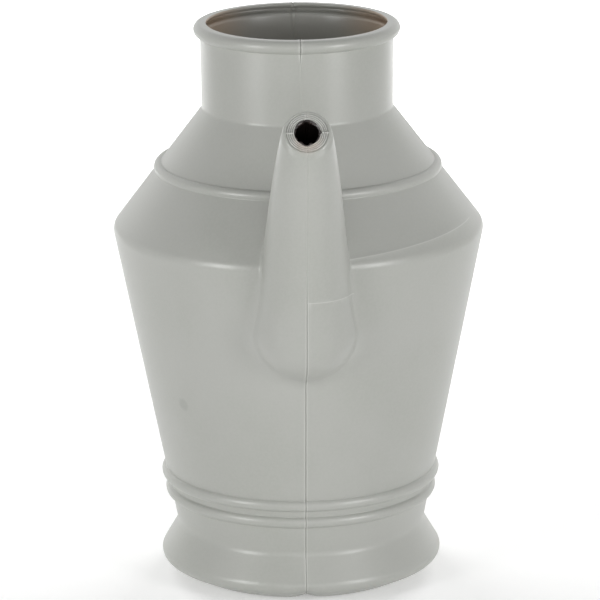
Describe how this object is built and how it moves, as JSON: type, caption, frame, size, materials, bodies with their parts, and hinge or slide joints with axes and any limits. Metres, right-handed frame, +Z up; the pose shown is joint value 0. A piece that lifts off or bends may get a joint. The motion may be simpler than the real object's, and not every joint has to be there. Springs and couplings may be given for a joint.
{
  "type": "watering can",
  "caption": "One-piece blown plastic watering can shaped like a milk churn, with a ribbed body, wide neck, upright front spout and hollow rear handle.",
  "frame": {"origin": "centre of the foot ring, on the surface that the can stands on", "axes": "+Z up along the body's axis, spout towards -Y, handle towards +Y, mould parting plane at X = 0"},
  "size_m": [0.1988, 0.2931, 0.304],
  "materials": {
    "shell_plastic": "matt grey polyethylene with a faint sheen, fine mould lines and a cut spout hole"
  },
  "bodies": {
    "root": {"watering_can": "shell_plastic"}
  },
  "joints": []
}
